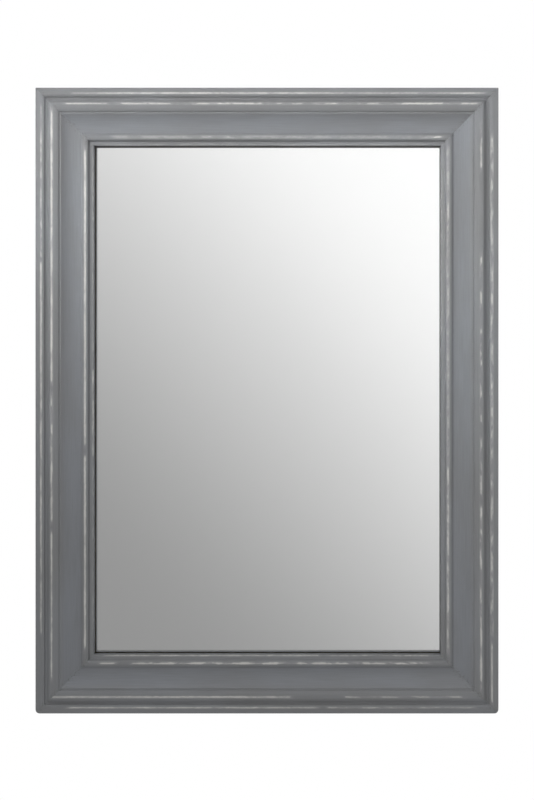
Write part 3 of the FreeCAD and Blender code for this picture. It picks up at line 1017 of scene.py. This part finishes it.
def strap_stations(sizes, low, high):
    """The strap's middle line as Y and Z, with the way it heads and its half width."""
    tip_steps, least_tip = 8, 0.0006
    curl_steps, curl_turn = 28, math.radians(320)
    half, outer = (high.x - low.x) / 2, (high.y - low.y) / 2
    radius = outer - sizes.strap_sheet / 2
    y, z = low.y + outer, high.z - outer
    plate_y = low.y + sizes.strap_sheet / 2
    stations = []
    for i in range(tip_steps + 1):
        a = math.pi * i / (2 * tip_steps)
        width = max(half * math.sin(a), least_tip)
        stations.append((plate_y, low.z + half - half * math.cos(a), 0.0, width))
    stations.append((plate_y, (low.z + half + z) / 2, 0.0, half))
    for i in range(curl_steps + 1):
        a = curl_turn * i / curl_steps
        stations.append((y - radius * math.cos(a), z + radius * math.sin(a), a, half))
    return stations


def strap_object(name, sizes, node, material):
    """A pressed steel strap with rounded edges, curled round the ring's bar."""
    low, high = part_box(node)
    thick = sizes.strap_sheet / 2
    bm = bmesh.new()
    rings = []
    for y, z, heading, half in strap_stations(sizes, low, high):
        normal = Vector((0, -math.cos(heading), math.sin(heading)))
        cut = min(sizes.strap_edge, 0.45 * half)
        corners = [(half - cut, thick), (half - 0.3 * cut, thick - 0.3 * cut), (half, thick - cut)]
        corners += [(u, -v) for u, v in reversed(corners)]
        corners += [(-u, v) for u, v in reversed(corners)]
        at = Vector(((low.x + high.x) / 2, y, z))
        rings.append([bm.verts.new(at + Vector((u, 0, 0)) + normal * v) for u, v in corners])
    for here, there in zip(rings, rings[1:]):
        for i in range(len(here)):
            bm.faces.new((here[i - 1], here[i], there[i], there[i - 1]))
    bm.faces.new(rings[0])
    bm.faces.new(rings[-1])
    return bmesh_object(name, bm, material, least_sharp=50)


def pad_object(name, sizes, node, material):
    """A moulded rubber pad: a domed rim round a sunk middle."""
    low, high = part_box(node)
    radius, top = (high.x - low.x) / 2, high.y - low.y
    edge, dish = sizes.pad_edge, sizes.pad_dish
    profile = [(0.0, 0.0), (radius, 0.0)]
    profile += circle_points(radius - edge, top - edge, edge, 0.0, math.pi / 2, 8)
    profile += [(0.46 * radius, top), (0.41 * radius, top - 0.2 * dish)]
    profile += [(0.36 * radius, top - 0.85 * dish), (0.30 * radius, top - dish), (0.0, top - dish)]
    bm = lathe(profile, sizes.pad_facets)[0]
    middle = Vector(((low.x + high.x) / 2, low.y, (low.z + high.z) / 2))
    bmesh.ops.translate(bm, verts=bm.verts, vec=middle)
    return bmesh_object(name, bm, material, least_sharp=50)


class MIRROR_OT_board(bpy.types.Operator):
    """Finish the backing board, and screw it down"""

    bl_idname = "mirror.board"
    bl_label = "Backing board"
    bl_options = {"REGISTER", "UNDO"}

    def execute(self, context):
        sizes = context.scene.mirror_hardware
        node_material(["backing_board"], fibreboard())
        node_material(["mitre_v_nails"], metal("Bare steel"))
        piece = screw_object("board_screw", sizes, board_screw_profile(sizes))
        places = board_screw_places(sizes, context.scene.mirror_moulding)
        screws = scattered_screws("board_screws", piece, places, seed=4)
        dress(screws, BODY, "backing_screws")
        return {"FINISHED"}


class MIRROR_OT_hangers(bpy.types.Operator):
    """Make the straps, the D-rings and their screws"""

    bl_idname = "mirror.hangers"
    bl_label = "Hangers"
    bl_options = {"REGISTER", "UNDO"}

    def execute(self, context):
        sizes = context.scene.mirror_hardware
        nickel = metal("Nickel plate")
        bent = wire_tree()
        values = {"Radius": sizes.wire_radius, "Facets": sizes.wire_facets, "Material": nickel}
        places = []
        for hand in ("left", "right"):
            ring, strap = f"hanger_ring_{hand}", f"hanger_strap_{hand}"
            line = line_object(f"{hand}_ring_line", ring_points(sizes, ring))
            made = finished(f"{hand}_d_ring", line, bent, values)
            dress(made, f"ring_{hand}", ring)
            made = strap_object(f"{hand}_strap", sizes, strap, nickel)
            dress(made, BODY, strap)
            low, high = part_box(strap)
            x, seat_y = (low.x + high.x) / 2, low.y + sizes.strap_sheet
            pin_z = high.z - (high.y - low.y) / 2
            places += [(x, seat_y, pin_z - drop) for drop in sizes.hanger_screw_drops]
        piece = screw_object("hanger_screw", sizes, hanger_screw_profile(sizes))
        screws = scattered_screws("strap_screws", piece, places, seed=11)
        dress(screws, BODY, "hanger_screws")
        return {"FINISHED"}


class MIRROR_OT_pads(bpy.types.Operator):
    """Mould the rubber pads that rest on the wall"""

    bl_idname = "mirror.pads"
    bl_label = "Wall pads"
    bl_options = {"REGISTER", "UNDO"}

    def execute(self, context):
        sizes = context.scene.mirror_hardware
        material = rubber()
        for node in [n for n in frame["nodes"] if n.startswith("wall_pad")]:
            made = pad_object(node.replace("wall_pad", "rubber_pad"), sizes, node, material)
            dress(made, BODY, node)
        return {"FINISHED"}


def plane_object(name, corners, material):
    """A flat four-sided surface."""
    mesh = bpy.data.meshes.new(name)
    mesh.from_pydata(corners, [], [(0, 1, 2, 3)])
    made = linked_object(name, mesh, material)
    return made


def square(reach):
    """The corners of a square round the origin."""
    return [(-reach, -reach), (reach, -reach), (reach, reach), (-reach, reach)]


def seen_ray(tree):
    """1 for rays that show something: from the camera, a reflection or glass."""
    kinds = ("Is Camera Ray", "Is Glossy Ray", "Is Transmission Ray")
    camera, glossy, passed = (add(tree, "ShaderNodeLightPath", output=kind) for kind in kinds)
    return camera.most(glossy).most(passed)


def white_world(ambient):
    """White where it is seen, and a soft grey light elsewhere."""
    world = bpy.data.worlds.new("Studio")
    world.use_nodes = True
    tree = world.node_tree
    background = tree.nodes["Background"]
    background.inputs["Color"].default_value = (1.0, 1.0, 1.0, 1.0)
    strength = seen_ray(tree).ramp(0.0, 1.0, ambient, 1.0)
    tree.links.new(strength.socket, background.inputs["Strength"])
    bpy.context.scene.world = world


def bare_material(name):
    """A material and its empty tree."""
    material, tree = new_material(name)
    tree.nodes.clear()
    return material, tree


def floor_material(middle, stage):
    """Pale floor that fades out to the white round it, and that doesn't show from below."""
    material, tree = bare_material("Pale floor")
    fade_from, fade_to = 0.45 * stage.floor_radius, 0.97 * stage.floor_radius
    place = add(tree, "ShaderNodeTexCoord", output="Object")
    place = add(tree, "ShaderNodeMapping", {"Vector": place, "Location": tuple(-middle)})
    distance = add(tree, "ShaderNodeVectorMath", {0: place}, output="Value", operation="LENGTH")
    behind = add(tree, "ShaderNodeNewGeometry", output="Backfacing")
    hidden = distance.ramp(fade_from, fade_to).most(behind)
    tone = noise(tree, stretched(tree, 40.0)).mix((0.78, 0.78, 0.78), (0.8, 0.8, 0.8))
    matt = add(tree, "ShaderNodeBsdfDiffuse", {"Color": tone})
    glow = add(tree, "ShaderNodeEmission", {"Strength": seen_ray(tree) * stage.floor_lift})
    lit = add(tree, "ShaderNodeAddShader", {0: matt, 1: glow})
    clear = add(tree, "ShaderNodeBsdfTransparent")
    surface = add(tree, "ShaderNodeMixShader", {0: hidden, 1: lit, 2: clear})
    add(tree, "ShaderNodeOutputMaterial", {"Surface": surface})
    return material


def card_material(eye, card_y):
    """Light that grows from the lower left to the upper right, as the mirror shows it."""
    material, tree = bare_material("Graduated card")
    middle_level, level_per_metre = 0.788, 0.506
    lowest_level, highest_level, bend = 0.571, 1.0, 0.15
    glass_make_up = 1.08
    silver_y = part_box("silvering")[0].y
    reach = (silver_y - card_y) / (silver_y - eye.y)
    place = add(tree, "ShaderNodeTexCoord", output="Object")
    x, z = (add(tree, "ShaderNodeSeparateXYZ", {0: place}, output=axis) for axis in "XZ")
    seen_at = (x + z) * (1 / (1 + reach)) + (eye.x + eye.z) * reach / (1 + reach)
    level = (seen_at - FRAME_MIDDLE_Z) * level_per_metre + middle_level
    level = level.maths("SMOOTH_MAX", lowest_level, bend).maths("SMOOTH_MIN", highest_level, bend)
    # A picture's level turns into light by the sRGB curve, and the glass takes some of it.
    strength = (level * 0.948 + 0.052).maths("POWER", 2.4) * glass_make_up
    light = add(tree, "ShaderNodeEmission", {"Strength": strength})
    add(tree, "ShaderNodeOutputMaterial", {"Surface": light})
    return material


def put_camera(stage, moulding):
    """The camera, which looks straight along Y and is shifted to frame the mirror."""
    data = bpy.data.cameras.new("Camera")
    data.sensor_width = 36.0
    data.lens = data.sensor_width * stage.camera_distance / stage.view_height
    data.shift_x = -stage.camera_right / stage.view_height
    data.shift_y = (stage.view_up - stage.camera_up) / stage.view_height
    camera = linked_object("Camera", data)
    edge_y = FRAME_BACK_Y - face_place(FACE_SHARES[0], moulding)[1]
    camera.location.x = stage.camera_right
    camera.location.y = edge_y - stage.camera_distance
    camera.location.z = FRAME_MIDDLE_Z + stage.camera_up
    camera.rotation_euler = (math.pi / 2, 0, 0)
    bpy.context.scene.camera = camera
    return camera.location


def put_lamp(middle, level, name, place, aim, size, power, spread_angle):
    """A square soft lamp that faces a point, with its spread in degrees."""
    data = bpy.data.lights.new(name, "AREA")
    data.size = size
    data.energy = power * level
    data.spread = math.radians(spread_angle)
    lamp = linked_object(name, data)
    lamp.location = middle + Vector(place)
    lamp.rotation_euler = (Vector(aim) - Vector(place)).to_track_quat("-Z", "Y").to_euler()
    for ray in ("camera", "glossy", "transmission"):
        setattr(lamp, f"visible_{ray}", False)


class MIRROR_OT_stage(bpy.types.Operator):
    """Set up the camera, the lamps, the floor and the card that the mirror shows"""

    bl_idname = "mirror.stage"
    bl_label = "Stage"
    bl_options = {"REGISTER", "UNDO"}

    def execute(self, context):
        stage = context.scene.mirror_stage
        context.scene.view_settings.view_transform = "Standard"
        eye = put_camera(stage, context.scene.mirror_moulding)
        white_world(stage.ambient)
        for lamp in LAMPS:
            put_lamp(Vector((0, 0, FRAME_MIDDLE_Z)), stage.lamp_level, *lamp)
        card_y = -stage.card_distance
        corners = [(x, card_y, z) for x, z in square(stage.card_reach)]
        card = plane_object("graduated_card", corners, card_material(eye, card_y))
        for ray in ("camera", "diffuse", "shadow", "volume_scatter"):
            setattr(card, f"visible_{ray}", False)
        floor_z = BOTTOM_BOX[0].z - stage.floor_drop
        corners = [(x, y, floor_z) for x, y in square(stage.floor_radius)]
        plane_object("floor", corners, floor_material(Vector((0, 0, floor_z)), stage))
        return {"FINISHED"}


class MIRROR_PT_panel(bpy.types.Panel):
    """Sizes, colours and steps of the mirror"""

    bl_idname = "MIRROR_PT_panel"
    bl_label = "Wall mirror"
    bl_space_type = "VIEW_3D"
    bl_region_type = "UI"
    bl_category = "Mirror"

    def draw(self, context):
        for holder in SETTINGS:
            group = getattr(context.scene, holder)
            box = self.layout.box()
            for name in group.__annotations__:
                box.prop(group, name)
        for step in STEPS:
            self.layout.operator(step.bl_idname)


SETTINGS = {
    "mirror_moulding": MouldingSizes,
    "mirror_pane": PaneSizes,
    "mirror_hardware": HardwareSizes,
    "mirror_paint": PaintColours,
    "mirror_stage": StageSettings,
}
STEPS = (
    MIRROR_OT_stage,
    MIRROR_OT_moulding,
    MIRROR_OT_pane,
    MIRROR_OT_board,
    MIRROR_OT_hangers,
    MIRROR_OT_pads,
)
CLASSES = (*SETTINGS.values(), *STEPS, MIRROR_PT_panel)


def register():
    for made in CLASSES:
        bpy.utils.register_class(made)
    for holder, group in SETTINGS.items():
        setattr(bpy.types.Scene, holder, bpy.props.PointerProperty(type=group))


def unregister():
    for holder in SETTINGS:
        delattr(bpy.types.Scene, holder)
    for made in reversed(CLASSES):
        bpy.utils.unregister_class(made)


def main():
    register()
    bpy.ops.mirror.stage()
    bpy.ops.mirror.moulding()
    bpy.ops.mirror.pane()
    bpy.ops.mirror.board()
    bpy.ops.mirror.hangers()
    bpy.ops.mirror.pads()


if __name__ == "__main__":
    main()
